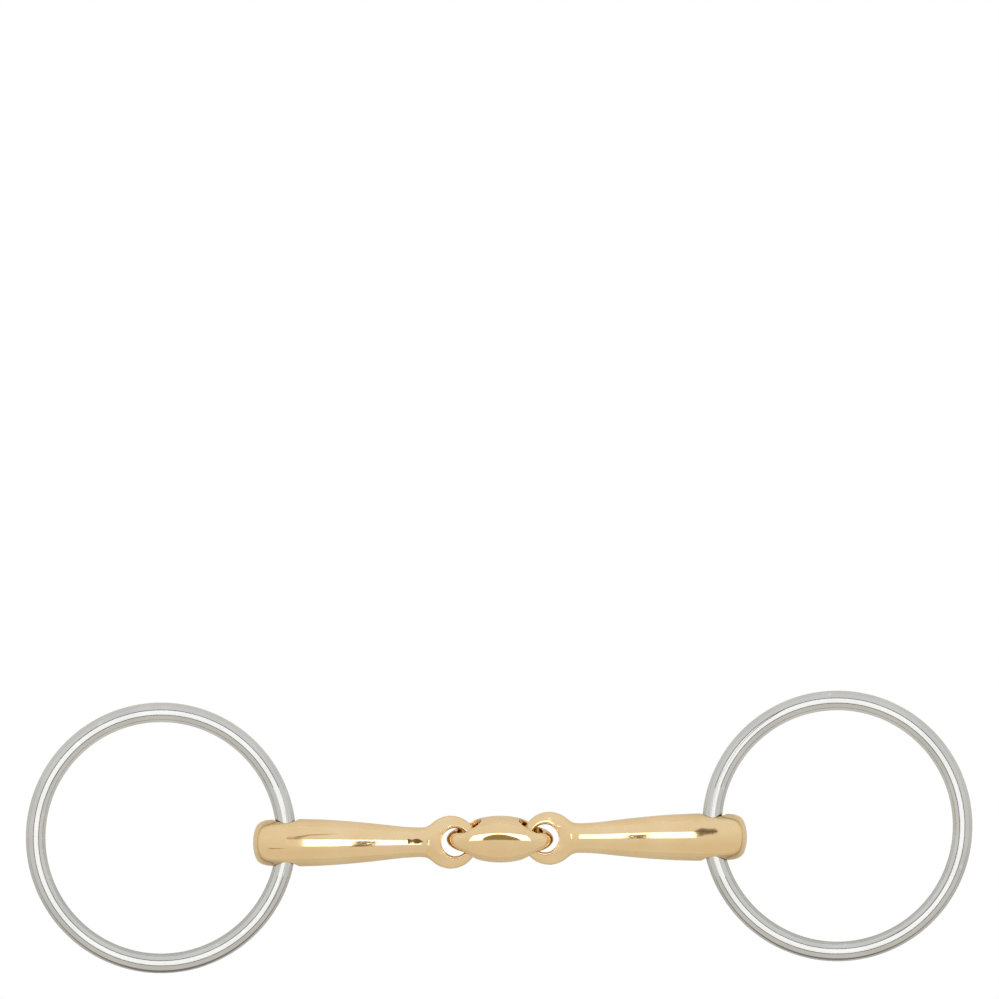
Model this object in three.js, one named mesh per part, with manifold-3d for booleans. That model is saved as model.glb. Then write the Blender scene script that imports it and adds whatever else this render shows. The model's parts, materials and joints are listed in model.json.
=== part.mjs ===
// A loose-ring, double-jointed snaffle bit, lying flat on a table.
//
// Five separate pieces: an oval link in the middle, two tapered cannons that
// interlock with it like links of a chain, and two round rings that pass
// through a bore in the outer end of each cannon.
//
// Millimetres. X runs along the mouthpiece, Y across it in the plane of the
// table, Z up. The table is z = 0, and the origin is on it, under the middle
// of the whole bit.

import * as THREE from 'three';
import { mergeVertices } from 'three/addons/utils/BufferGeometryUtils.js';
import Module from 'manifold-3d';

// ---------------------------------------------------------------- dimensions

// rings: round wire bent into a circle, 70 mm inside
const RING_R = 38.15;            // centre line of the wire
const WIRE_R = 3.0;
const RING_STEPS = 80;
const WIRE_STEPS = 16;

// cannon: distances are measured along its axis from the middle of the link
const EYE_HOLE_D = 13.7;         // centre of the hole in the inner eye
const EYE_HOLE_R = 4.2;
const EYE_D = 14.95;             // centre of the eye's round outline
const EYE_R = 8.05;
const EYE_BAR_T = 1.8;           // half thickness where the eye runs in the link
const EYE_SIDE_T = 2.6;          // half thickness just before the neck
const EYE_NECK_T = 4.0;          // half thickness where the eye grows from the neck
const BARREL_STEPS = 32;
const REST_D0 = 59.5;            // the stretch the barrel lies on
const REST_D1 = 64.5;
const REST_R = 7.19;             // barrel radius at the start of that stretch
const BORE_D = 65.1;             // axis of the ring bore
const BORE_R = 3.85;
const BORE_MOUTH_R = 4.15;       // the bore is eased open at both mouths

// link: an oval body, slotted through at each end so that a loop is left
const LINK_HALF_LENGTH = 16.3;
const LINK_STEPS = 48;
const SLOT_X0 = 5.85;            // from the core of the link ...
const SLOT_X1 = 12.9;            // ... to the end bar of the loop
const SLOT_HALF = 3.65;
const SLOT_CORNER = 2.5;
const WAIST_R = 2.5;             // the end bar, where the eye runs round it
const WAIST_HALF = 3.5;

// the pose: how the pieces lie on the table
const LINK_ROLL = 15.75;           // degrees, the link lies over on its side a little
const LINK_HEIGHT = 6.909;       // middle of the link above the table
const RIGHT = { eyeY: 0.24, yaw: 0.46, ringOut: 37.5, ringSide: 3.05 };
const LEFT = { eyeY: -0.92, yaw: 0.2, ringOut: 38.0, ringSide: -1.6 };
const MIDDLE_X = 0.267;          // middle of the link from the middle of the bit
const MIDDLE_Y = -2.185;

// ------------------------------------------------------------------ materials

const gold = () => new THREE.MeshStandardMaterial({ color: 0xdcc394, roughness: 0.16, metalness: 1.0 });
const steel = () => new THREE.MeshStandardMaterial({ color: 0xc9c9c7, roughness: 0.24, metalness: 1.0 });

// --------------------------------------------------------------- small helpers

const wasm = await Module();
wasm.setup();

const rad = THREE.MathUtils.degToRad;
const smooth = THREE.MathUtils.smoothstep;

function toSolid(geometry) {
  const g = geometry.clone();
  g.deleteAttribute('normal');
  g.deleteAttribute('uv');
  const m = mergeVertices(g, 1e-4);
  return new wasm.Manifold(new wasm.Mesh({
    numProp: 3,
    vertProperties: new Float32Array(m.attributes.position.array),
    triVerts: new Uint32Array(m.index.array),
  }));
}

function toGeometry(solid) {
  const m = solid.getMesh();
  const g = new THREE.BufferGeometry();
  g.setAttribute('position', new THREE.BufferAttribute(new Float32Array(m.vertProperties), 3));
  g.setIndex(new THREE.BufferAttribute(new Uint32Array(m.triVerts), 1));
  g.computeVertexNormals();
  return g;
}

// A body turned about the X axis, then pressed from round to oval. Each
// station is [x, half width, half thickness]; the first and last close on the
// axis. roundness 2 is an ellipse, more is squarer.
function ovalBody(stations, steps, roundness, phase = 0) {
  const profile = stations.map(([x, w]) => new THREE.Vector2(w > 0 ? 1 : 0, x));
  const g = new THREE.LatheGeometry(profile, steps, phase);
  const p = g.attributes.position;
  const rows = stations.length;
  for (let i = 0; i < p.count; i++) {
    const [x, w, h] = stations[i % rows];
    const a = Math.atan2(p.getZ(i), p.getX(i));
    const c = Math.cos(a), s = Math.sin(a);
    const k = w > 0 ? (Math.abs(c) ** roundness + Math.abs(s) ** roundness) ** (-1 / roundness) : 0;
    p.setXYZ(i, x, w * c * k, -h * s * k);
  }
  return g;
}

// a flat ribbon of points through [x, y] pairs, evened out along x
function spline(pairs) {
  const curve = new THREE.SplineCurve(pairs.map(([x, y]) => new THREE.Vector2(x, y)));
  const table = curve.getPoints(400);
  return (x) => {
    let i = 1;
    while (i < table.length - 1 && table[i].x < x) i++;
    const a = table[i - 1], b = table[i];
    const t = b.x === a.x ? 0 : (x - a.x) / (b.x - a.x);
    return a.y + (b.y - a.y) * Math.min(Math.max(t, 0), 1);
  };
}

// -------------------------------------------------------------------- the link

function makeLink() {
  const width = spline([[0, 7.06], [2.4, 6.95], [4.4, 6.66], [6.2, 6.28], [7.6, 5.85], [9.0, 5.1],
    [10.4, 4.25], [11.8, 3.65], [13.2, 3.1], [14.4, 2.5], [15.4, 1.72], [16.05, 0.85], [16.3, 0.0]]);
  const thick = spline([[0, 6.85], [2.4, 6.82], [5.0, 6.68], [7.5, 6.38], [9.5, 5.96], [11.2, 5.42],
    [12.6, 4.76], [13.8, 3.96], [14.8, 3.02], [15.6, 2.06], [16.1, 1.1], [16.3, 0.0]]);
  const xs = [1.2, 3.0, 4.8, 6.4, 7.8, 9.2, 10.6, 12.0, 13.2, 14.2, 15.0, 15.6, 16.05];
  const half = xs.map((x) => [x, width(x), thick(x)]);
  const stations = [
    [-LINK_HALF_LENGTH, 0, 0],
    ...half.map(([x, w, h]) => [-x, w, h]).reverse(),
    ...half,
    [LINK_HALF_LENGTH, 0, 0],
  ];
  let body = toSolid(ovalBody(stations, LINK_STEPS, 2.15));

  // the slot through each end, its corners rounded, open on both sides
  const shape = new THREE.Shape();
  const x0 = SLOT_X0, x1 = SLOT_X1, h = SLOT_HALF, r = SLOT_CORNER;
  shape.moveTo(x0 + r, -h);
  shape.lineTo(x1 - r, -h);
  shape.absarc(x1 - r, -h + r, r, -Math.PI / 2, 0, false);
  shape.lineTo(x1, h - r);
  shape.absarc(x1 - r, h - r, r, 0, Math.PI / 2, false);
  shape.lineTo(x0 + r, h);
  shape.absarc(x0 + r, h - r, r, Math.PI / 2, Math.PI, false);
  shape.lineTo(x0, -h + r);
  shape.absarc(x0 + r, -h + r, r, Math.PI, Math.PI * 1.5, false);
  const slot = new THREE.ExtrudeGeometry(shape, { depth: 24, bevelEnabled: false, curveSegments: 6 });
  slot.translate(0, 0, -12);
  slot.rotateX(Math.PI / 2);

  // the loop's end bar is drawn in to a waist, so the eye can run round it
  const groove = [];
  const n = 12;
  for (let i = 0; i <= n; i++) {
    const z = Math.sin(Math.PI * (i / n - 0.5));
    groove.push(new THREE.Vector2(WAIST_R + 3.0 * Math.abs(z) ** 6, WAIST_HALF * z));
  }
  groove.push(new THREE.Vector2(9.5, WAIST_HALF), new THREE.Vector2(9.5, -WAIST_HALF), groove[0].clone());
  const waist = new THREE.LatheGeometry(groove.reverse(), 40);
  waist.rotateX(Math.PI / 2);
  waist.translate(EYE_HOLE_D, 0, 0);

  for (const side of [0, Math.PI]) {
    const s = slot.clone().rotateZ(side);
    const w = waist.clone().rotateZ(side);
    body = body.subtract(toSolid(s)).subtract(toSolid(w));
  }
  return toGeometry(body);
}

// ------------------------------------------------------------------ the cannon
// Built along +X with the centre of the eye's hole at its own origin.

function makeCannon(tilt) {
  // the barrel: slim at the neck, thickest before the bore, rounded over at
  // the end; the stretch it lies on is straight
  const slope = Math.tan(rad(tilt));
  const restEnd = REST_R + (REST_D1 - REST_D0) * slope;
  const stations = [
    [19.3, 0, 0],
    [19.5, 4.6, 2.5], [20.1, 5.5, 3.15], [20.8, 5.5, 3.65], [21.5, 5.14, 4.0], [22.4, 4.76, 4.3],
    [23.6, 4.55, 4.46], [25.2, 4.52, 4.52], [27.4, 4.62, 4.62], [30.4, 4.86, 4.86],
    [33.4, 5.2, 5.2], [36.5, 5.55, 5.55], [39.5, 5.88, 5.88], [42.6, 6.18, 6.18],
    [45.6, 6.45, 6.45], [48.8, 6.7, 6.7], [52.2, 6.93, 6.93], [55.8, 7.09, 7.09],
    [REST_D0, REST_R, REST_R], [REST_D1, restEnd, restEnd],
    [67.4, 7.17, 7.17], [69.6, 7.03, 7.03], [71.3, 6.8, 6.8], [72.4, 6.45, 6.45],
    [73.2, 5.98, 5.98], [73.9, 5.25, 5.25], [74.4, 4.25, 4.25], [74.8, 2.8, 2.8], [75.02, 1.4, 1.4],
    [75.08, 0, 0],
  ].map(([d, w, h]) => [d - EYE_HOLE_D, w, h]);
  const barrel = ovalBody(stations, BARREL_STEPS, 2, Math.PI / BARREL_STEPS);

  // the eye: a ring whose wall is thin where it runs in the link and thick
  // where it grows from the neck, with an off-centre hole
  const sections = 16, around = 44;
  const eye = new THREE.TorusGeometry(6, 2, sections, around);
  const p = eye.attributes.position;
  const off = EYE_D - EYE_HOLE_D;
  for (let i = 0; i < p.count; i++) {
    const x = p.getX(i), y = p.getY(i), z = p.getZ(i);
    const phi = Math.atan2(y, x);
    const c = (Math.hypot(x, y) - 6) / 2, s = z / 2;
    const outer = off * Math.cos(phi) + Math.sqrt(EYE_R ** 2 - (off * Math.sin(phi)) ** 2);
    const mid = (outer + EYE_HOLE_R) / 2, half = (outer - EYE_HOLE_R) / 2;
    const turn = Math.PI - Math.abs(phi);          // 0 at the link side, pi at the neck
    const t = EYE_BAR_T
      + (EYE_SIDE_T - EYE_BAR_T) * smooth(turn, rad(105), rad(145))
      + (EYE_NECK_T - EYE_SIDE_T) * smooth(turn, rad(140), rad(180));
    const n = 2.4;                                 // a little squarer than an ellipse
    const k = (Math.abs(c) ** n + Math.abs(s) ** n) ** (-1 / n);
    const r = mid + half * c * k;
    p.setXYZ(i, r * Math.cos(phi), r * Math.sin(phi), t * s * k);
  }

  // the bore for the ring, across the barrel, eased open at each mouth
  const wall = [];
  const reach = 8.4;
  for (let i = 0; i <= 12; i++) {
    const y = -reach + (2 * reach * i) / 12;
    const e = smooth(Math.abs(y), 4.4, reach);
    wall.push(new THREE.Vector2(BORE_R + (BORE_MOUTH_R + 0.5 - BORE_R) * e * e, y));
  }
  const bore = new THREE.LatheGeometry(
    [new THREE.Vector2(0, -reach), ...wall, new THREE.Vector2(0, reach)], 32);
  bore.translate(BORE_D - EYE_HOLE_D, 0, 0);

  return toGeometry(toSolid(barrel).add(toSolid(eye)).subtract(toSolid(bore)));
}

// -------------------------------------------------------------------- assembly

// the barrel's straight stretch lies on the table, and so does the link, so
// the cannon rises a little towards its outer end
const apothem = REST_R * Math.cos(Math.PI / BARREL_STEPS);
let cannonTilt = 0;
for (let i = 0; i < 20; i++) {
  cannonTilt = Math.asin((apothem * Math.cos(cannonTilt) - LINK_HEIGHT) / (REST_D0 - EYE_HOLE_D));
}
// the far side of each ring lies on the table too
const boreHeight = LINK_HEIGHT + (BORE_D - EYE_HOLE_D) * Math.sin(cannonTilt);

const cannonShape = makeCannon(THREE.MathUtils.radToDeg(cannonTilt));

function makeSide(name, pose, turned) {
  const pivot = new THREE.Group();                 // stands in the eye's hole
  pivot.rotation.order = 'ZYX';
  pivot.rotation.z = rad(pose.yaw) + (turned ? Math.PI : 0);
  pivot.rotation.y = -cannonTilt;
  pivot.position.set(turned ? -EYE_HOLE_D : EYE_HOLE_D, pose.eyeY, 0);

  const cannon = new THREE.Mesh(cannonShape.clone(), gold());
  cannon.name = `cannon_${name}`;
  pivot.add(cannon);

  const swivel = new THREE.Group();                // lies along the bore
  swivel.position.set(BORE_D - EYE_HOLE_D, 0, 0);
  const drop = Math.asin((boreHeight - WIRE_R) / (pose.ringOut + RING_R));
  swivel.rotation.y = cannonTilt + drop;
  const ring = new THREE.Mesh(new THREE.TorusGeometry(RING_R, WIRE_R, WIRE_STEPS, RING_STEPS), steel());
  ring.name = `ring_${name}`;
  ring.position.set(pose.ringOut, pose.ringSide, 0);
  swivel.add(ring);
  pivot.add(swivel);
  return pivot;
}

const bit = new THREE.Group();
bit.position.set(MIDDLE_X, MIDDLE_Y, LINK_HEIGHT);

const link = new THREE.Mesh(makeLink(), gold());
link.name = 'centre_link';
link.rotation.x = rad(LINK_ROLL);
bit.add(link);
bit.add(makeSide('right', RIGHT, false));
bit.add(makeSide('left', LEFT, true));

const snaffleBit = new THREE.Group();
snaffleBit.add(bit);

export default snaffleBit;
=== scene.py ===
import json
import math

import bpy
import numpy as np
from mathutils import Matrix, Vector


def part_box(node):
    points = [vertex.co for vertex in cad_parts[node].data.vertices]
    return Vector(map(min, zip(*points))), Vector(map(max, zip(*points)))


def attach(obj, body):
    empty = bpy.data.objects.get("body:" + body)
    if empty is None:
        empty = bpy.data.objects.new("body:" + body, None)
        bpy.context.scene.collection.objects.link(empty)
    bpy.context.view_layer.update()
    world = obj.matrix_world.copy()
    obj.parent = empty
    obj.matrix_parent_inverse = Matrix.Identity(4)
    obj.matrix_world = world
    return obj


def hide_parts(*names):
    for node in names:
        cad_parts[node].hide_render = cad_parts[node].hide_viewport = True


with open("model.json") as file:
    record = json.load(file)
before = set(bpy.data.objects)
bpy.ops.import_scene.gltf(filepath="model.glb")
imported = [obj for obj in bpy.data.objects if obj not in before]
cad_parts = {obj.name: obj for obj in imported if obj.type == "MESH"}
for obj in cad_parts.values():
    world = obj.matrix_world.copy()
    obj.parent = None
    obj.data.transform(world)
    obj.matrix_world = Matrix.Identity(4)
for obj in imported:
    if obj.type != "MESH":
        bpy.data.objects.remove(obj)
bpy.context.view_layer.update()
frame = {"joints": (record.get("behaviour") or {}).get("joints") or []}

# The visual model of a loose-ring, double-jointed snaffle bit lying flat.
# Every piece is one closed surface made here. The link and the cannons are
# described as smooth bodies joined and cut with rounded edges, and the surface
# is drawn round them; the rings are bent wire. Shapes are worked out in
# millimetres in each piece's own frame and placed by the CAD frame.

MM = 0.001


# ------------------------------------------------------------ small helpers

def curve_through(xs, ys, end_slopes=(None, None)):
    """A C2 cubic through the points, straight on beyond both ends."""
    x, y = np.array(xs, float), np.array(ys, float)
    n = len(x)
    h = np.diff(x)
    a = np.zeros((n, n))
    r = np.zeros(n)
    a[0, 0] = a[-1, -1] = 1.0
    if end_slopes[0] is not None:
        a[0, 0], a[0, 1] = 2 * h[0], h[0]
        r[0] = 6 * ((y[1] - y[0]) / h[0] - end_slopes[0])
    if end_slopes[1] is not None:
        a[-1, -1], a[-1, -2] = 2 * h[-1], h[-1]
        r[-1] = 6 * (end_slopes[1] - (y[-1] - y[-2]) / h[-1])
    for i in range(1, n - 1):
        a[i, i - 1], a[i, i], a[i, i + 1] = h[i - 1], 2 * (h[i - 1] + h[i]), h[i]
        r[i] = 6 * ((y[i + 1] - y[i]) / h[i] - (y[i] - y[i - 1]) / h[i - 1])
    m = np.linalg.solve(a, r)
    s0 = (y[1] - y[0]) / h[0] - h[0] * (2 * m[0] + m[1]) / 6
    s1 = (y[-1] - y[-2]) / h[-1] + h[-1] * (2 * m[-1] + m[-2]) / 6

    def f(q):
        q = np.asarray(q, float)
        i = np.clip(np.searchsorted(x, q) - 1, 0, n - 2)
        t = q - x[i]
        hi = h[i]
        v = (
            y[i]
            + t * ((y[i + 1] - y[i]) / hi - hi * (2 * m[i] + m[i + 1]) / 6)
            + t * t * m[i] / 2
            + t ** 3 * (m[i + 1] - m[i]) / (6 * hi)
        )
        v = np.where(q < x[0], y[0] + s0 * (q - x[0]), v)
        return np.where(q > x[-1], y[-1] + s1 * (q - x[-1]), v)

    return f


def smoothstep(v, a, b):
    t = np.clip((v - a) / (b - a), 0.0, 1.0)
    return t * t * (3 - 2 * t)


def slopes(f, p, e=0.02):
    g = np.empty_like(p)
    for i in range(3):
        d = np.zeros(3)
        d[i] = e
        g[:, i] = (f(p + d) - f(p - d)) / (2 * e)
    return g


def as_distance(f):
    """Turns a field that is zero on the surface into one close to a distance in mm."""
    def g(p):
        return f(p) / np.maximum(np.linalg.norm(slopes(f, p), axis=1), 1e-6)
    return g


def join(a, b, k):
    """Union with a fillet about k wide."""
    h = np.maximum(k - np.abs(a - b), 0.0) / k
    return np.minimum(a, b) - h * h * h * k / 6


def cut(a, b, k):
    """a without b, the edge rounded over."""
    return -join(-a, b, k)


def surface(field, lo, hi, step, smooth=14):
    """A closed quad mesh on field = 0, with even faces."""
    lo, hi = np.array(lo, float), np.array(hi, float)
    n = np.ceil((hi - lo) / step).astype(int) + 1
    ax = [lo[i] + step * np.arange(n[i]) for i in range(3)]
    g = np.stack(np.meshgrid(*ax, indexing="ij"), -1).reshape(-1, 3)
    F = np.concatenate([field(c) for c in np.array_split(g, max(1, len(g) // 200000))]).reshape(n)
    cells = tuple(n - 1)
    acc, cnt, edges = np.zeros(cells + (3,)), np.zeros(cells), []
    for a in range(3):
        s0, s1 = [slice(None)] * 3, [slice(None)] * 3
        s0[a], s1[a] = slice(0, -1), slice(1, None)
        f0, f1 = F[tuple(s0)], F[tuple(s1)]
        cross = (f0 < 0) != (f1 < 0)
        idx = np.argwhere(cross)
        p = idx.astype(float)
        p[:, a] += f0[cross] / (f0[cross] - f1[cross])
        b, c = (a + 1) % 3, (a + 2) % 3
        for db in (0, -1):
            for dc in (0, -1):
                q = idx.copy()
                q[:, b] += db
                q[:, c] += dc
                np.add.at(acc, tuple(q.T), p)
                np.add.at(cnt, tuple(q.T), 1)
        edges.append((a, idx, f0[cross] < 0))
    mixed = cnt > 0
    number = np.full(cells, -1)
    number[mixed] = np.arange(mixed.sum())
    v = acc[mixed] / cnt[mixed][:, None] * step + lo
    quads = []
    for a, idx, inside in edges:
        b, c = (a + 1) % 3, (a + 2) % 3
        ring = []
        for db, dc in ((-1, -1), (0, -1), (0, 0), (-1, 0)):
            q = idx.copy()
            q[:, b] += db
            q[:, c] += dc
            ring.append(number[tuple(q.T)])
        ring = np.stack(ring, 1)
        ring[~inside] = ring[~inside][:, ::-1]
        quads.append(ring)
    q = np.concatenate(quads)
    v = settle(field, v, q, smooth)
    v, q = split(v, q)
    return settle(field, v, q, smooth), q


def settle(field, v, q, rounds):
    """Evens the faces out and draws every point onto the surface."""
    e = np.concatenate([q[:, [i, (i + 1) % 4]] for i in range(4)])
    deg = np.bincount(e[:, 0], minlength=len(v)).astype(float)
    for _ in range(rounds):
        m = np.stack([np.bincount(e[:, 0], v[e[:, 1], i], len(v)) for i in range(3)], 1)
        m /= deg[:, None]
        g = slopes(field, v)
        g /= np.maximum(np.linalg.norm(g, axis=1), 1e-9)[:, None]
        d = m - v
        d -= g * (d * g).sum(1)[:, None]
        v = v + 0.5 * d
        v = v - g * np.clip(field(v), -0.2, 0.2)[:, None]
    for _ in range(3):
        g = slopes(field, v)
        l2 = np.maximum((g * g).sum(1), 1e-9)
        v = v - g * (np.clip(field(v), -0.2, 0.2) / l2)[:, None]
    return v


def split(v, q):
    """Every quad into four."""
    e = np.concatenate([q[:, [i, (i + 1) % 4]] for i in range(4)])
    key = np.sort(e, 1)
    u, inv = np.unique(key, axis=0, return_inverse=True)
    inv = inv.reshape(4, -1)
    mid = (v[u[:, 0]] + v[u[:, 1]]) / 2
    centre = v[q].mean(1)
    n, k = len(v), len(u)
    c = n + k + np.arange(len(q))
    out = [np.stack([q[:, i], n + inv[i], c, n + inv[i - 1]], 1) for i in range(4)]
    return np.concatenate([v, mid, centre]), np.concatenate(out)


def new_piece(name, points, faces, origin, axes):
    """A mesh from points in mm in a piece's own frame, placed by its origin (m) and axes."""
    p = points @ np.array(axes, float) * MM + np.array(origin, float)
    mesh = bpy.data.meshes.new(name)
    mesh.vertices.add(len(p))
    mesh.vertices.foreach_set("co", p.astype(np.float32).ravel())
    mesh.loops.add(faces.size)
    mesh.loops.foreach_set("vertex_index", faces.astype(np.int32).ravel())
    mesh.polygons.add(len(faces))
    mesh.polygons.foreach_set("loop_start", np.arange(0, faces.size, 4, dtype=np.int32))
    mesh.update(calc_edges=True)
    mesh.validate()
    mesh.polygons.foreach_set("use_smooth", np.ones(len(mesh.polygons), bool))
    # the piece's own coordinates in mm, so that a finish keeps to the piece as it moves
    own = mesh.attributes.new("own", "FLOAT_VECTOR", "POINT")
    own.data.foreach_set("vector", points.astype(np.float32).ravel())
    ob = bpy.data.objects.new(name, mesh)
    bpy.context.scene.collection.objects.link(ob)
    return ob


# ------------------------------------------------------------------ the link

EYE_HOLE_D = 13.7

half_width2 = curve_through(
    [0, 2.4, 4.4, 6.2, 7.6, 9.0, 10.4, 11.8, 13.2, 14.4, 15.4, 16.05, 16.3],
    [w * w for w in (7.06, 6.95, 6.66, 6.28, 5.85, 5.1, 4.25, 3.65, 3.1, 2.5, 1.72, 0.85, 0.0)],
    (0.0, None),
)
half_thick2 = curve_through(
    [0, 2.4, 5.0, 7.5, 9.5, 11.2, 12.6, 13.8, 14.8, 15.6, 16.1, 16.3],
    [w * w for w in (6.85, 6.82, 6.68, 6.38, 5.96, 5.42, 4.76, 3.96, 3.02, 2.06, 1.1, 0.0)],
    (0.0, None),
)


def link_oval(p):
    x = np.abs(p[:, 0])
    w2, t2 = half_width2(x), half_thick2(x)
    ratio2 = np.maximum(t2, 0.02) / np.maximum(w2, 0.02)
    n = 2.45
    a = ((p[:, 1] / 0.982) ** 2 * ratio2) ** (n / 2)
    b = (p[:, 2] ** 2) ** (n / 2)
    return (a + b) ** (2 / n) - t2


link_oval_d = as_distance(link_oval)


def link_field(p):
    x = np.abs(p[:, 0])
    body = link_oval_d(p)
    # the slot across each end, open on both sides
    cx, hx, hz, r = (5.85 + 12.9) / 2, (12.9 - 5.85) / 2, 3.65, 2.5
    qx, qz = np.abs(x - cx) - (hx - r), np.abs(p[:, 2]) - (hz - r)
    slot = np.hypot(np.maximum(qx, 0), np.maximum(qz, 0)) + np.minimum(np.maximum(qx, qz), 0) - r
    # the end bar drawn in to a waist where the eye runs round it
    z = np.clip(np.abs(p[:, 2]) / 3.5, 0, 1.02)
    core = np.where(x > EYE_HOLE_D, 2.64, 2.5) + 3.0 * z ** 6
    rr = np.hypot(x - EYE_HOLE_D, p[:, 1])
    rise = 3.0 * 6 * z ** 5 / 3.5
    waist = np.maximum((core - rr) / np.sqrt(1 + rise ** 2), np.abs(p[:, 2]) - 3.5)
    waist = np.where(np.abs(p[:, 2]) < 3.5, np.minimum(waist, 0.0) + np.maximum((core - rr) / np.sqrt(1 + rise ** 2), 0), waist)
    waist = np.where(x < 8.0, 3.0, waist)
    return cut(cut(body, slot, 0.7), waist, 0.5)


# ---------------------------------------------------------------- the cannon

HOLE_R, EYE_R, EYE_OFF = 4.2, 8.05, 1.25
# towards the eye the barrel thins to the eye's own thickness at the edge of its hole
_d = [15.7, 16.7, 17.9, 18.7, 19.7, 20.7, 21.7, 22.7, 23.8, 25.2, 27.4, 30.4, 33.4, 36.5, 39.5, 42.6, 45.6, 48.8, 52.2, 55.8,
      59.5, 64.5, 67.4, 69.6, 71.3, 72.4, 73.2, 73.9, 74.4, 74.8, 75.02, 75.08]
_w = [3.2, 3.6, 4.0, 4.2, 4.35, 4.45, 4.5, 4.5, 4.5, 4.52, 4.62, 4.86, 5.2, 5.55, 5.88, 6.18, 6.45, 6.7, 6.93, 7.09,
      7.19, 7.2, 7.17, 7.03, 6.8, 6.45, 5.98, 5.25, 4.25, 2.8, 1.4, 0.0]
_t = [1.1, 1.5, 1.95, 2.35, 2.88, 3.34, 3.72, 4.05, 4.33, 4.52, 4.62, 4.86, 5.2, 5.55, 5.88, 6.18, 6.45, 6.7, 6.93, 7.09,
      7.19, 7.2, 7.17, 7.03, 6.8, 6.45, 5.98, 5.25, 4.25, 2.8, 1.4, 0.0]
barrel_w2 = curve_through([d - EYE_HOLE_D for d in _d], [w * w for w in _w])
barrel_t2 = curve_through([d - EYE_HOLE_D for d in _d], [t * t for t in _t])


def barrel(p):
    x = p[:, 0]
    w2, t2 = barrel_w2(x), barrel_t2(x)
    ratio = np.maximum(t2, 0.05) / np.maximum(w2, 0.05)
    return p[:, 1] ** 2 * ratio + p[:, 2] ** 2 - t2


def eye_ring(p):
    x, y, z = p[:, 0], p[:, 1], p[:, 2]
    phi = np.arctan2(y, x)
    r = np.hypot(x, y)
    outer = EYE_OFF * np.cos(phi) + np.sqrt(EYE_R ** 2 - (EYE_OFF * np.sin(phi)) ** 2)
    mid, half = (outer + HOLE_R) / 2, (outer - HOLE_R) / 2
    turn = np.degrees(math.pi - np.abs(phi))
    t = 1.8 + 0.55 * smoothstep(turn, 105, 150) + 0.5 * smoothstep(turn, 140, 180)
    # the crown of the wall runs close to the hole, and the wall falls away outwards;
    # at the neck it rises outwards instead, into the barrel
    crown = -0.62 + 0.95 * smoothstep(turn, 125, 172)
    c = (r - mid) / half - crown
    c = np.where(c > 0, c / (1 - crown), c / (1 + crown))
    n = np.where(c > 0, 1.5 + 0.7 * smoothstep(c, 0.15, 1.0), 2.2)
    k = (np.abs(c) ** n + np.abs(z / t) ** n) ** (1 / n)
    return (k - 1) * np.minimum(half, t)


barrel_beyond, eye_d = as_distance(barrel), as_distance(eye_ring)


def barrel_d(p):
    """The barrel, ending inside the eye's hole."""
    return np.maximum(barrel_beyond(p), 3.0 - p[:, 0])


BORE_X = 65.1 - EYE_HOLE_D


def cannon_field(p):
    body = join(barrel_d(p), eye_d(p), 2.6)
    y = np.abs(p[:, 1])
    r = 3.83 + 0.12 * smoothstep(y, 5.4, 8.4) ** 2
    bore = np.hypot(p[:, 0] - BORE_X, p[:, 2]) - r
    # the fillet at the neck stops short of the hole
    hole = np.hypot(p[:, 0], p[:, 1]) - HOLE_R
    return cut(cut(body, hole, 0.25), bore, 0.38)


# ------------------------------------------------------------- making pieces

def unit(v):
    v = np.array(v, float)
    return v / np.linalg.norm(v)


joints = {j["name"]: j for j in frame["joints"]}
mesh_step = 0.36

# the link: its middle is the middle of its box, and it lies rolled about its length
ROLL = math.radians(15.75)
lo, hi = (np.array(c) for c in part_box("centre_link"))
link_axes = [[1, 0, 0], [0, math.cos(ROLL), math.sin(ROLL)], [0, -math.sin(ROLL), math.cos(ROLL)]]
pts, quads = surface(link_field, (-17, -8, -8), (17, 8, 8), mesh_step)
link = new_piece("centre_link_fine", pts, quads, (lo + hi) / 2, link_axes)
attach(link, "link")
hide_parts("centre_link")

# the cannons: from the middle of the eye's hole to the ring bore
cannon_points, cannon_quads = surface(cannon_field, (-8, -9, -8.2), (62.4, 9, 8.2), mesh_step)
cannons, rings = {}, {}
for side in ("left", "right"):
    eye = np.array(joints[f"swing_{side}"]["pos_m"])
    bore = np.array(joints[f"swivel_{side}"]["pos_m"])
    along = unit(bore - eye)
    up = unit(np.array([0, 0, 1]) - along * along[2])
    across = np.cross(up, along)
    ob = new_piece(f"cannon_{side}_fine", cannon_points, cannon_quads, eye, [along, across, up])
    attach(ob, f"{side}_cannon")
    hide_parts(f"cannon_{side}")
    cannons[side] = ob


def wire_ring(R, r, around, section):
    a = np.arange(around) / around * 2 * math.pi
    b = np.arange(section) / section * 2 * math.pi
    A, B = np.meshgrid(a, b, indexing="ij")
    rad = R + r * np.cos(B)
    p = np.stack([rad * np.cos(A), rad * np.sin(A), r * np.sin(B)], -1).reshape(-1, 3)
    i, j = np.meshgrid(np.arange(around), np.arange(section), indexing="ij")
    i1, j1 = (i + 1) % around, (j + 1) % section
    q = np.stack([i * section + j, i1 * section + j, i1 * section + j1, i * section + j1], -1)
    return p, q.reshape(-1, 4)


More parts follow.
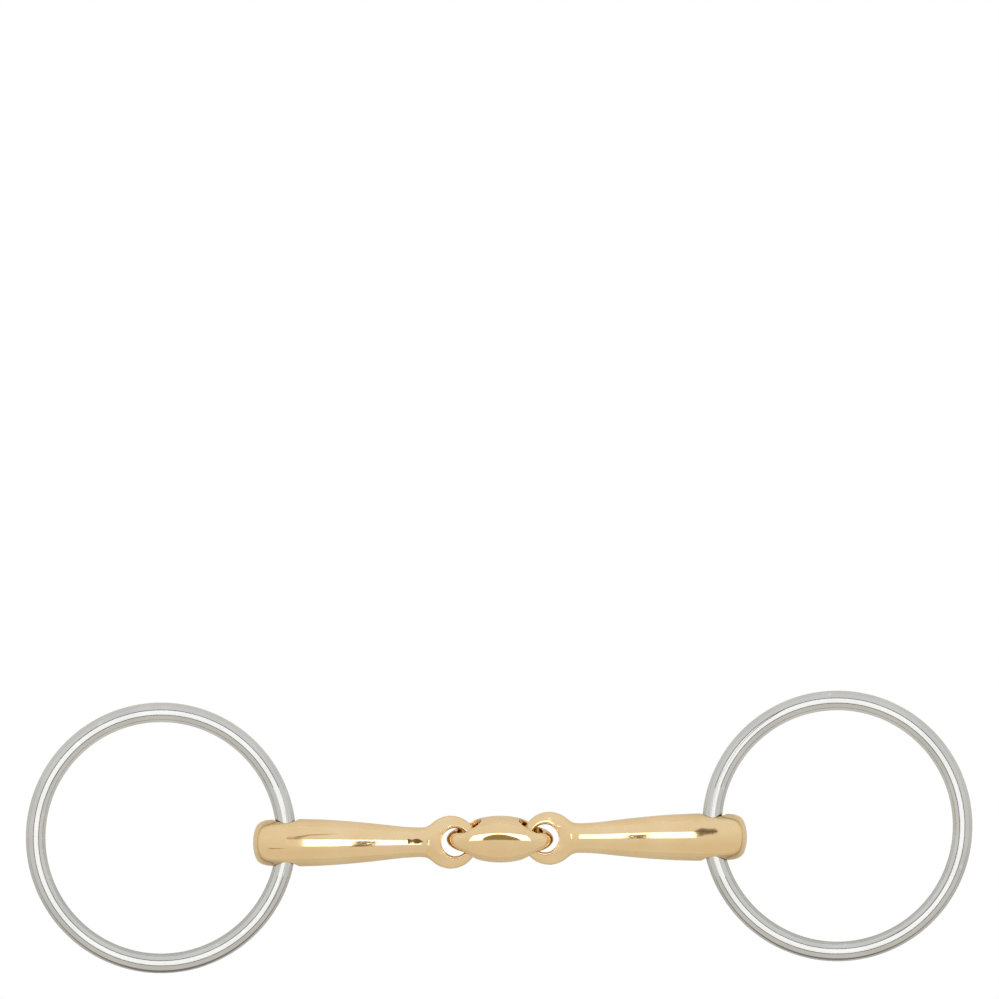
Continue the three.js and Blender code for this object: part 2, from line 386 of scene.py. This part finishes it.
ring_points, ring_quads = wire_ring(38.15, 3.0, 480, 56)
for side in ("left", "right"):
    lo, hi = (np.array(c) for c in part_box(f"ring_{side}"))
    centre = (lo + hi) / 2
    bore = np.array(joints[f"swivel_{side}"]["pos_m"])
    hinge = unit(joints[f"swivel_{side}"]["axis"])
    out = centre - bore
    out -= hinge * out.dot(hinge)          # from the bore to under the ring's middle
    along = unit(out)
    across = unit(np.cross([0, 0, 1], along))
    up = np.cross(along, across)
    ob = new_piece(f"ring_{side}_fine", ring_points, ring_quads, centre, [along, across, up])
    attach(ob, f"{side}_ring")
    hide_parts(f"ring_{side}")
    rings[side] = ob


# ----------------------------------------------------------------- finishes

def node(tree, kind, at=(0, 0), **inputs):
    n = tree.nodes.new(kind)
    n.location = at
    for k, v in inputs.items():
        key = k.replace("_", " ")
        if key in n.inputs:
            n.inputs[key].default_value = v
        else:
            setattr(n, k, v)
    return n


def metal(name, base, pale, rubbed_and_sheen_tone, roughness, scratch_turn):
    """Polished metal: soft colour drift, fine polishing lines, a few scratches, paler edges that are partly wear and
    partly a painted highlight.
    """
    m = bpy.data.materials.new(name)
    m.use_nodes = True
    t = m.node_tree
    t.nodes.clear()
    link_up = t.links.new
    out = node(t, "ShaderNodeOutputMaterial", (900, 0))
    b = node(t, "ShaderNodeBsdfPrincipled", (600, 0), Metallic=1.0)
    link_up(b.outputs["BSDF"], out.inputs["Surface"])
    at = node(t, "ShaderNodeAttribute", (-1300, 0))
    at.attribute_name = "own"
    own = at.outputs["Vector"]

    # colour: a slow drift between two tones, and fine grain, in mm
    drift = node(t, "ShaderNodeTexNoise", (-1000, 300), Scale=0.09, Detail=3.0, Roughness=0.55)
    link_up(own, drift.inputs["Vector"])
    grain = node(t, "ShaderNodeTexNoise", (-1000, 100), Scale=3.5, Detail=4.0, Roughness=0.6)
    link_up(own, grain.inputs["Vector"])
    tone = node(t, "ShaderNodeMix", (-600, 300))
    tone.data_type = "RGBA"
    tone.inputs["A"].default_value = (*base, 1)
    tone.inputs["B"].default_value = (*pale, 1)
    span = node(t, "ShaderNodeMapRange", (-800, 300))
    span.inputs["From Min"].default_value = 0.3
    span.inputs["From Max"].default_value = 0.7
    link_up(drift.outputs["Fac"], span.inputs["Value"])
    link_up(span.outputs["Result"], tone.inputs["Factor"])

    # paler, brighter edges where the surface turns sharply, in patches: partly wear and partly a painted edge
    # highlight
    geo = node(t, "ShaderNodeNewGeometry", (-1000, 560))
    edge = node(t, "ShaderNodeMapRange", (-800, 560))
    edge.inputs["From Min"].default_value = 0.53
    edge.inputs["From Max"].default_value = 0.62
    link_up(geo.outputs["Pointiness"], edge.inputs["Value"])
    patchy = node(t, "ShaderNodeMath", (-600, 560), operation="MULTIPLY")
    link_up(edge.outputs["Result"], patchy.inputs[0])
    link_up(grain.outputs["Fac"], patchy.inputs[1])
    rubbed_and_sheen_mix = node(t, "ShaderNodeMix", (-300, 300))
    rubbed_and_sheen_mix.data_type = "RGBA"
    rubbed_and_sheen_mix.inputs["B"].default_value = (*rubbed_and_sheen_tone, 1)
    link_up(patchy.outputs["Value"], rubbed_and_sheen_mix.inputs["Factor"])
    link_up(tone.outputs["Result"], rubbed_and_sheen_mix.inputs["A"])
    link_up(rubbed_and_sheen_mix.outputs["Result"], b.inputs["Base Color"])

    # polishing lines, drawn out along the piece, and sparse scratches across them
    lines_at = node(t, "ShaderNodeMapping", (-1000, -200))
    lines_at.inputs["Scale"].default_value = (0.5, 7.0, 7.0) if scratch_turn else (3.0, 3.0, 8.0)
    link_up(own, lines_at.inputs["Vector"])
    lines = node(t, "ShaderNodeTexNoise", (-800, -200), Scale=1.6, Detail=5.0, Roughness=0.65)
    link_up(lines_at.outputs["Vector"], lines.inputs["Vector"])
    scr_at = node(t, "ShaderNodeMapping", (-1000, -420))
    scr_at.inputs["Rotation"].default_value = (0.3, 0.5, 0.9)
    scr_at.inputs["Scale"].default_value = (0.12, 1.9, 1.9)
    link_up(own, scr_at.inputs["Vector"])
    scr = node(t, "ShaderNodeTexVoronoi", (-800, -420), Scale=1.3)
    scr.feature = "DISTANCE_TO_EDGE"
    link_up(scr_at.outputs["Vector"], scr.inputs["Vector"])
    thin = node(t, "ShaderNodeMapRange", (-600, -420))
    thin.inputs["From Min"].default_value = 0.0
    thin.inputs["From Max"].default_value = 0.012
    thin.inputs["To Min"].default_value = 1.0
    thin.inputs["To Max"].default_value = 0.0
    link_up(scr.outputs["Distance"], thin.inputs["Value"])
    where = node(t, "ShaderNodeMapRange", (-600, -640))
    where.inputs["From Min"].default_value = 0.52
    where.inputs["From Max"].default_value = 0.6
    link_up(drift.outputs["Fac"], where.inputs["Value"])
    some = node(t, "ShaderNodeMath", (-400, -420), operation="MULTIPLY")
    link_up(thin.outputs["Result"], some.inputs[0])
    link_up(where.outputs["Result"], some.inputs[1])

    # roughness: even polish, a little duller along the lines and in the scratches
    rough = node(t, "ShaderNodeMapRange", (-400, -100))
    rough.inputs["From Min"].default_value = 0.3
    rough.inputs["From Max"].default_value = 0.7
    rough.inputs["To Min"].default_value = roughness * 0.75
    rough.inputs["To Max"].default_value = roughness * 1.3
    link_up(lines.outputs["Fac"], rough.inputs["Value"])
    duller = node(t, "ShaderNodeMath", (-200, -100), operation="MULTIPLY_ADD")
    duller.inputs[1].default_value = 0.12
    link_up(some.outputs["Value"], duller.inputs[0])
    link_up(rough.outputs["Result"], duller.inputs[2])
    link_up(duller.outputs["Value"], b.inputs["Roughness"])

    # bump: the hand-polished waviness, the lines and the scratches, in metres
    wavy = node(t, "ShaderNodeTexNoise", (-1000, -860), Scale=0.35, Detail=2.0, Roughness=0.5)
    link_up(own, wavy.inputs["Vector"])
    b1 = node(t, "ShaderNodeBump", (0, -700), Strength=0.5, Distance=0.00002)
    link_up(wavy.outputs["Fac"], b1.inputs["Height"])
    b2 = node(t, "ShaderNodeBump", (150, -500), Strength=0.5, Distance=0.0000012)
    link_up(lines.outputs["Fac"], b2.inputs["Height"])
    link_up(b1.outputs["Normal"], b2.inputs["Normal"])
    b3 = node(t, "ShaderNodeBump", (300, -300), Strength=0.4, Distance=0.000004)
    b3.invert = True
    link_up(some.outputs["Value"], b3.inputs["Height"])
    link_up(b2.outputs["Normal"], b3.inputs["Normal"])
    link_up(b3.outputs["Normal"], b.inputs["Normal"])
    return m


gold = metal("polished_pale_gold", (0.835, 0.615, 0.335), (0.875, 0.675, 0.405), (0.93, 0.80, 0.60), 0.075, True)
steel = metal("polished_steel", (0.585, 0.59, 0.585), (0.65, 0.655, 0.65), (0.78, 0.78, 0.77), 0.10, False)
for ob in [link, *cannons.values()]:
    ob.data.materials.append(gold)
for ob in rings.values():
    ob.data.materials.append(steel)


# ------------------------------------------------------- floor, light, camera

floor_mesh = bpy.data.meshes.new("floor")
s = 4.0
floor_mesh.from_pydata([(-s, -s, 0), (s, -s, 0), (s, s, 0), (-s, s, 0)], [], [(0, 1, 2, 3)])
floor = bpy.data.objects.new("floor", floor_mesh)
floor.location.z = -0.00005
bpy.context.scene.collection.objects.link(floor)
fm = bpy.data.materials.new("pale_sheet")
fm.use_nodes = True
ft = fm.node_tree
ft.nodes.clear()
fo = node(ft, "ShaderNodeOutputMaterial")
ways = node(ft, "ShaderNodeLightPath")
blend_to = node(ft, "ShaderNodeMixShader")
seen = node(ft, "ShaderNodeEmission", Color=(1, 1, 1, 1), Strength=1.0)
paper = node(ft, "ShaderNodeTexNoise", Scale=900.0, Detail=3.0)
tone = node(ft, "ShaderNodeValToRGB")
tone.color_ramp.elements[0].color = (0.82, 0.81, 0.78, 1)
tone.color_ramp.elements[1].color = (0.88, 0.87, 0.84, 1)
sheet = node(ft, "ShaderNodeBsdfDiffuse")
# in the metal's reflections the sheet also glows, a painted light rising from nothing at y = -30 mm to 0.16 at y = +30
# mm; the camera sees the sheet plain white
painted_glow = node(ft, "ShaderNodeEmission", Color=(1, 0.98, 0.95, 1))
place = node(ft, "ShaderNodeNewGeometry")
apart = node(ft, "ShaderNodeSeparateXYZ")
depth = node(ft, "ShaderNodeMapRange")
depth.interpolation_type = "SMOOTHSTEP"
for key, v in (("From Min", -0.03), ("From Max", 0.03), ("To Min", 0.0), ("To Max", 0.16)):
    depth.inputs[key].default_value = v
ft.links.new(place.outputs["Position"], apart.inputs["Vector"])
ft.links.new(apart.outputs["Y"], depth.inputs["Value"])
ft.links.new(depth.outputs["Result"], painted_glow.inputs["Strength"])
both = node(ft, "ShaderNodeAddShader")
ft.links.new(paper.outputs["Fac"], tone.inputs["Fac"])
ft.links.new(tone.outputs["Color"], sheet.inputs["Color"])
ft.links.new(sheet.outputs["BSDF"], both.inputs[0])
ft.links.new(painted_glow.outputs["Emission"], both.inputs[1])
ft.links.new(ways.outputs["Is Camera Ray"], blend_to.inputs["Fac"])
ft.links.new(both.outputs["Shader"], blend_to.inputs[1])
ft.links.new(seen.outputs["Emission"], blend_to.inputs[2])
ft.links.new(blend_to.outputs["Shader"], fo.inputs["Surface"])
floor_mesh.materials.append(fm)

# the room: an even pale tent, a little warmer and darker towards -Y, with a
# thin dark seam where it meets the floor
world = bpy.data.worlds.new("studio")
bpy.context.scene.world = world
world.use_nodes = True
wt = world.node_tree
wt.nodes.clear()
wl = wt.links.new
wo = node(wt, "ShaderNodeOutputWorld")
bg = node(wt, "ShaderNodeBackground", Strength=1.0)
co = node(wt, "ShaderNodeTexCoord")
sep = node(wt, "ShaderNodeSeparateXYZ")
wl(co.outputs["Generated"], sep.inputs["Vector"])
side_tone = node(wt, "ShaderNodeValToRGB")
side_tone.color_ramp.elements[0].position = 0.15
side_tone.color_ramp.elements[0].color = (0.80, 0.76, 0.69, 1)
side_tone.color_ramp.elements[1].position = 0.75
side_tone.color_ramp.elements[1].color = (0.90, 0.90, 0.89, 1)
half_y = node(wt, "ShaderNodeMath", operation="MULTIPLY_ADD")
half_y.inputs[1].default_value = 0.5
half_y.inputs[2].default_value = 0.5
wl(sep.outputs["Y"], half_y.inputs[0])
wl(half_y.outputs["Value"], side_tone.inputs["Fac"])
height = node(wt, "ShaderNodeValToRGB")
height.color_ramp.interpolation = "EASE"
e = height.color_ramp.elements
e[0].position, e[0].color = 0.0, (0.30, 0.23, 0.13, 1)
e[1].position, e[1].color = 0.06, (1, 1, 1, 1)
wl(sep.outputs["Z"], height.inputs["Fac"])
mul = node(wt, "ShaderNodeMix")
mul.data_type = "RGBA"
mul.blend_type = "MULTIPLY"
sideways = node(wt, "ShaderNodeMath", operation="ABSOLUTE")
wl(sep.outputs["X"], sideways.inputs[0])
how_dark = node(wt, "ShaderNodeMapRange")
how_dark.inputs["From Min"].default_value = 0.1
how_dark.inputs["From Max"].default_value = 0.8
how_dark.inputs["To Min"].default_value = 0.22
how_dark.inputs["To Max"].default_value = 1.0
wl(sideways.outputs["Value"], how_dark.inputs["Value"])
wl(how_dark.outputs["Result"], mul.inputs["Factor"])
wl(side_tone.outputs["Color"], mul.inputs["A"])
wl(height.outputs["Color"], mul.inputs["B"])
wl(mul.outputs["Result"], bg.inputs["Color"])
# looked at straight on, the room is as white as the sheet
plain = node(wt, "ShaderNodeBackground", Color=(1, 1, 1, 1), Strength=1.0)
world_ways = node(wt, "ShaderNodeLightPath")
seen_as = node(wt, "ShaderNodeMixShader")
wl(world_ways.outputs["Is Camera Ray"], seen_as.inputs["Fac"])
wl(bg.outputs["Background"], seen_as.inputs[1])
wl(plain.outputs["Background"], seen_as.inputs[2])
wl(seen_as.outputs["Shader"], wo.inputs["Surface"])


def only_on(light, *obs):
    """The light falls on these objects alone."""
    group = bpy.data.collections.new(light.name + "_falls_on")
    for o in obs:
        group.objects.link(o)
    light.light_linking.receiver_collection = group


def softbox(name, at, size, radiance, *obs):
    d = bpy.data.lights.new(name, "AREA")
    d.shape = "RECTANGLE"
    d.size, d.size_y = size
    d.energy = radiance * math.pi * size[0] * size[1]
    ob = bpy.data.objects.new(name, d)
    ob.location = at
    ob.visible_camera = False
    bpy.context.scene.collection.objects.link(ob)
    if obs:
        only_on(ob, *obs)
    return ob


H = 0.22
softbox("box_over_left", (0.0, -0.010, H), (0.104, 0.121), 2.1, cannons["left"])
softbox("box_over_middle", (0.0, -0.002, H), (0.260, 0.122), 2.1, link)
softbox("box_over_right", (0.0, 0.042, H), (0.102, 0.112), 2.1, cannons["right"])
sun = bpy.data.lights.new("tent_top", "SUN")
sun.angle = math.radians(54)
sun.energy = 0.60 * math.pi * math.sin(math.radians(27)) ** 2
top = bpy.data.objects.new("tent_top", sun)
top.visible_camera = False
bpy.context.scene.collection.objects.link(top)
only_on(top, *rings.values())


def dark_card(name, outline, z, tone, seen_from, faces=None):
    """A painted reflection: a dark glowing card over the bit, unseen by the camera, that the
    metal mirrors, standing for the camera, its arm and the rim of the tent. seen_from gives
    the stretch of x it shows in, in metres, or "rings"."""
    m = bpy.data.meshes.new(name)
    m.from_pydata([(x * MM, y * MM, z) for x, y in outline], [], faces or [tuple(range(len(outline)))])
    ob = bpy.data.objects.new(name, m)
    mat = bpy.data.materials.new(name)
    mat.use_nodes = True
    t = mat.node_tree
    t.nodes.clear()
    o = node(t, "ShaderNodeOutputMaterial")
    mix = node(t, "ShaderNodeMixShader")
    clear = node(t, "ShaderNodeBsdfTransparent")
    em = node(t, "ShaderNodeEmission", Color=(*tone, 1), Strength=1.0)
    geo = node(t, "ShaderNodeNewGeometry")
    path = node(t, "ShaderNodeLightPath")
    back = node(t, "ShaderNodeVectorMath", operation="SCALE")
    t.links.new(geo.outputs["Incoming"], back.inputs[0])
    t.links.new(path.outputs["Ray Length"], back.inputs["Scale"])
    start = node(t, "ShaderNodeVectorMath", operation="ADD")
    t.links.new(geo.outputs["Position"], start.inputs[0])
    t.links.new(back.outputs["Vector"], start.inputs[1])
    xyz = node(t, "ShaderNodeSeparateXYZ")
    t.links.new(start.outputs["Vector"], xyz.inputs["Vector"])

    def over(socket, limit, kind="GREATER_THAN"):
        n = node(t, "ShaderNodeMath", operation=kind)
        t.links.new(socket, n.inputs[0])
        n.inputs[1].default_value = limit
        return n.outputs["Value"]

    def both_of(p, q, kind="MULTIPLY"):
        n = node(t, "ShaderNodeMath", operation=kind)
        t.links.new(p, n.inputs[0])
        t.links.new(q, n.inputs[1])
        return n.outputs["Value"]

    if seen_from == "rings":
        ax = node(t, "ShaderNodeMath", operation="ABSOLUTE")
        ay = node(t, "ShaderNodeMath", operation="ABSOLUTE")
        t.links.new(xyz.outputs["X"], ax.inputs[0])
        t.links.new(xyz.outputs["Y"], ay.inputs[0])
        shown = both_of(over(ax.outputs["Value"], 0.0775), over(ay.outputs["Value"], 0.0135), "MAXIMUM")
    else:
        shown = both_of(over(xyz.outputs["X"], seen_from[0]), over(xyz.outputs["X"], seen_from[1], "LESS_THAN"))
    # the card paints its dark tone only into reflections of rays that start in its stretch; to all other rays it is
    # clear
    t.links.new(shown, mix.inputs["Fac"])
    t.links.new(clear.outputs["BSDF"], mix.inputs[1])
    t.links.new(em.outputs["Emission"], mix.inputs[2])
    t.links.new(mix.outputs["Shader"], o.inputs["Surface"])
    m.materials.append(mat)
    ob.visible_camera = False
    ob.visible_diffuse = False
    bpy.context.scene.collection.objects.link(ob)
    return ob


def box_of(x0, x1, y0, y1):
    return [(x0, y0), (x1, y0), (x1, y1), (x0, y1)]


# tones of the painted reflections: dark patches for the camera and its arm, brown and amber lines for seams of the
# tent
DARK, BROWN, AMBER = (0.17, 0.13, 0.08), (0.42, 0.34, 0.25), (0.50, 0.30, 0.14)
L, M, R = (-0.2, -0.0175), (-0.0175, 0.0175), (0.0175, 0.2)
low = H - 0.004                     # each card lies at a height of its own
dark_card("painted_reflection_camera_left_barrel", box_of(-6, 10.5, -90, 26), low - 0.0035, DARK, (-0.2, -0.030))
dark_card("painted_reflection_camera_left_neck", [(75, 15), (30, 95), (0, 105), (-18, 45), (-6, -48), (28, -42)], low - 0.0005, DARK, (-0.0278, -0.0215))
dark_card("painted_reflection_camera_middle", [(-47, -64), (62, -64), (50, -30), (30, 2), (12, 26), (-6, 38), (-26, 22), (-42, -12)],
          low - 0.001, (0.33, 0.26, 0.16), M)
dark_card("painted_reflection_camera_right", box_of(-8, 7, -20, 62), low - 0.0015, DARK, (0.030, 0.2))
dark_card("painted_reflection_arm_right", [(49, 95), (56, -5), (68, 100), (57, 215)], low - 0.002, DARK, (0.045, 0.2))
dark_card("painted_reflection_seam_left_barrel", [(-60, 45), (-54, 95), (-45, 135), (-23, 176), (-10, 205), (-10, 214), (-24, 192), (-47, 158), (-60, 120), (-64, 75)],
          low - 0.0025, BROWN, (-0.0645, -0.043))
dark_card("painted_reflection_seam_left_end", [(-118, -128), (-96, -126), (-64, -120), (-64, -112), (-118, -104)], low - 0.003, AMBER, (-0.074, -0.0635))
# a painted reflection of the rim of the tent's top, a ring, seen only from the rings, where it paints thin dark lines
turns = [2 * math.pi * i / 96 for i in range(96)]
inner = [(1500 * math.tan(math.radians(27.6)) * math.cos(a), 1500 * math.tan(math.radians(27.6)) * math.sin(a)) for a in turns]
outer = [(1500 * math.tan(math.radians(34.5)) * math.cos(a), 1500 * math.tan(math.radians(34.5)) * math.sin(a)) for a in turns]
dark_card("painted_reflection_ring_lines", inner + outer, 1.5, (0.13, 0.13, 0.13), "rings",
          [(i, (i + 1) % 96, 96 + (i + 1) % 96, 96 + i) for i in range(96)])

# a painted reflection: a dark sheet at floor level beyond y = -50 mm, seen only from the rings, darkening their lower
# outer edges
painted_dark_reflection_on_rings = dark_card("painted_dark_reflection_on_rings", box_of(-900, 900, -1500, -50), 0.0001, (0.26, 0.25, 0.23), "rings")
painted_dark_reflection_on_rings.visible_shadow = False

cam_data = bpy.data.cameras.new("camera")
cam_data.type = "ORTHO"
cam_data.ortho_scale = 0.30365
cam_data.clip_start, cam_data.clip_end = 0.01, 10.0
cam = bpy.data.objects.new("camera", cam_data)
cam.location = (0.000115, 0.10104, 0.9)
bpy.context.scene.collection.objects.link(cam)
bpy.context.scene.camera = cam
bpy.context.scene.view_settings.view_transform = "Standard"
